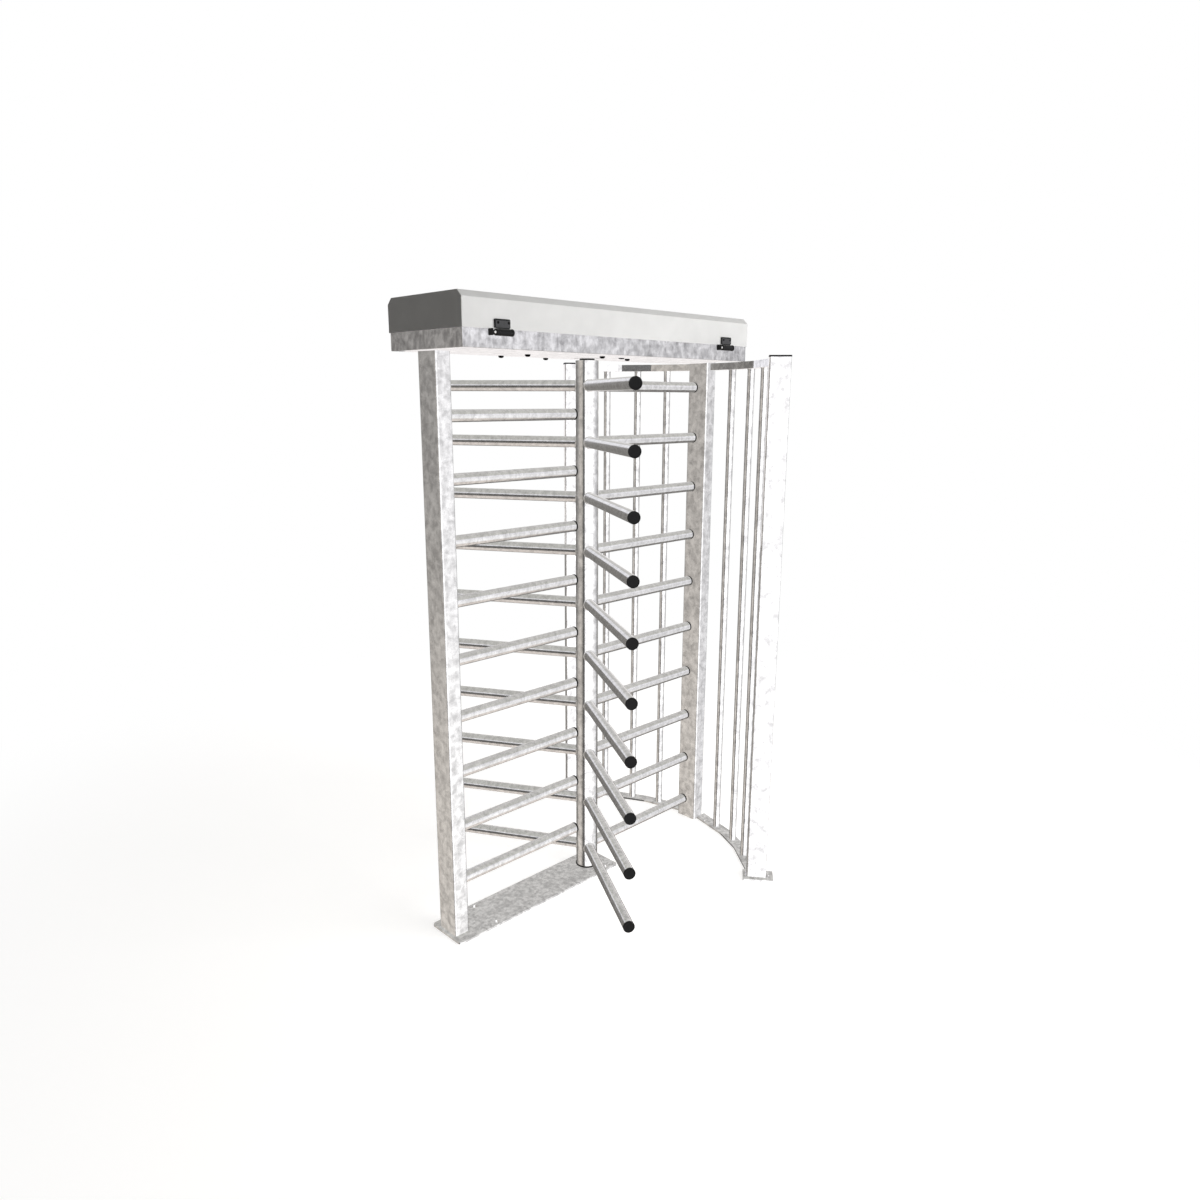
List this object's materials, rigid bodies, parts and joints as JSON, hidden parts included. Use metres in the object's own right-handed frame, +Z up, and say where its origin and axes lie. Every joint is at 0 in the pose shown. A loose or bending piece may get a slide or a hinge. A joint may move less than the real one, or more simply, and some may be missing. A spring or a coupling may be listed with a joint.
{
  "type": "full height turnstile",
  "caption": "Full height turnstile: galvanised rotor with barred wings that turns between a barred barrier and a curved bar guard, under a head box with a hinged cover.",
  "frame": {"origin": "on the rotor axis, at the underside of the base plate on the floor", "axes": "+X along the head box from the barrier to the guard, -Y to the side of the cover hinges, +Z up along the rotor axis"},
  "size_m": [1.5127, 1.2974, 2.2645],
  "materials": {
    "galvanised": "hot-dip galvanised, dull with a mottled spangle",
    "grey_paint": "pale grey powder coat, satin",
    "black_steel": "black paint, satin",
    "black_plastic": "moulded black, matt",
    "machined_steel": "machined, lightly oiled",
    "lock_steel": "bright plated"
  },
  "bodies": {
    "frame": {"base_plate": "galvanised", "left_post": "galvanised", "right_post": "galvanised", "barrier_bar_1": "galvanised", "barrier_bar_2": "galvanised", "barrier_bar_3": "galvanised", "barrier_bar_4": "galvanised", "barrier_bar_5": "galvanised", "barrier_bar_6": "galvanised", "barrier_bar_7": "galvanised", "barrier_bar_8": "galvanised", "barrier_bar_9": "galvanised", "guard_front": "galvanised", "guard_back": "galvanised", "floor_bearing": "black_plastic", "top_bearing": "black_steel", "head_tray": "galvanised", "hinge_bracket_left": "black_steel", "hinge_bracket_right": "black_steel", "lock_frame": "machined_steel", "rotary_damper": "black_steel"},
    "rotor": {"rotor_column": "galvanised", "lock_wheel": "machined_steel", "wing_1_arm_1": "galvanised", "wing_1_arm_2": "galvanised", "wing_1_arm_3": "galvanised", "wing_1_arm_4": "galvanised", "wing_1_arm_5": "galvanised", "wing_1_arm_6": "galvanised", "wing_1_arm_7": "galvanised", "wing_1_arm_8": "galvanised", "wing_1_arm_9": "galvanised", "wing_1_arm_10": "galvanised", "wing_2_arm_1": "galvanised", "wing_2_arm_2": "galvanised", "wing_2_arm_3": "galvanised", "wing_2_arm_4": "galvanised", "wing_2_arm_5": "galvanised", "wing_2_arm_6": "galvanised", "wing_2_arm_7": "galvanised", "wing_2_arm_8": "galvanised", "wing_2_arm_9": "galvanised", "wing_2_arm_10": "galvanised", "wing_3_arm_1": "galvanised", "wing_3_arm_2": "galvanised", "wing_3_arm_3": "galvanised", "wing_3_arm_4": "galvanised", "wing_3_arm_5": "galvanised", "wing_3_arm_6": "galvanised", "wing_3_arm_7": "galvanised", "wing_3_arm_8": "galvanised", "wing_3_arm_9": "galvanised", "wing_3_arm_10": "galvanised"},
    "damper_pinion": {"damper_pinion": "machined_steel"},
    "cover": {"head_cover": "grey_paint", "hinge_leaf_left": "black_steel", "hinge_leaf_right": "black_steel"},
    "cover_lock": {"cover_lock": "lock_steel"},
    "entry_pawl": {"lock_pawl_entry": "machined_steel"},
    "exit_pawl": {"lock_pawl_exit": "machined_steel"}
  },
  "joints": [
    {"name": "rotor_turn", "type": "hinge", "parent": "frame", "child": "rotor", "pos_m": [0, 0, 1], "axis": [0, 0, 1], "continuous": true},
    {"name": "damper_turn", "type": "hinge", "parent": "frame", "child": "damper_pinion", "pos_m": [-0.12, 0, 2.14], "axis": [0, 0, 1], "continuous": true},
    {"name": "cover_open", "type": "hinge", "parent": "frame", "child": "cover", "pos_m": [-0.081, -0.29, 2.1475], "axis": [1, 0, 0], "range_deg": [0, 95]},
    {"name": "cover_lock_turn", "type": "hinge", "parent": "cover", "child": "cover_lock", "pos_m": [-0.081, 0.1165, 2.185], "axis": [0, 1, 0], "range_deg": [0, 90]},
    {"name": "entry_pawl_swing", "type": "hinge", "parent": "frame", "child": "entry_pawl", "pos_m": [0.09375, -0.09234, 2.137], "axis": [0, 0, -1], "range_deg": [0, 10], "stiffness_Nm_per_rad": 0.4, "springref_deg": -17.19},
    {"name": "exit_pawl_swing", "type": "hinge", "parent": "frame", "child": "exit_pawl", "pos_m": [-0.09375, -0.09234, 2.137], "axis": [0, 0, 1], "range_deg": [0, 10], "stiffness_Nm_per_rad": 0.4, "springref_deg": -17.19}
  ],
  "couplings": [
    {"joint": "damper_turn", "follows": "rotor_turn", "ratio": -3}
  ]
}
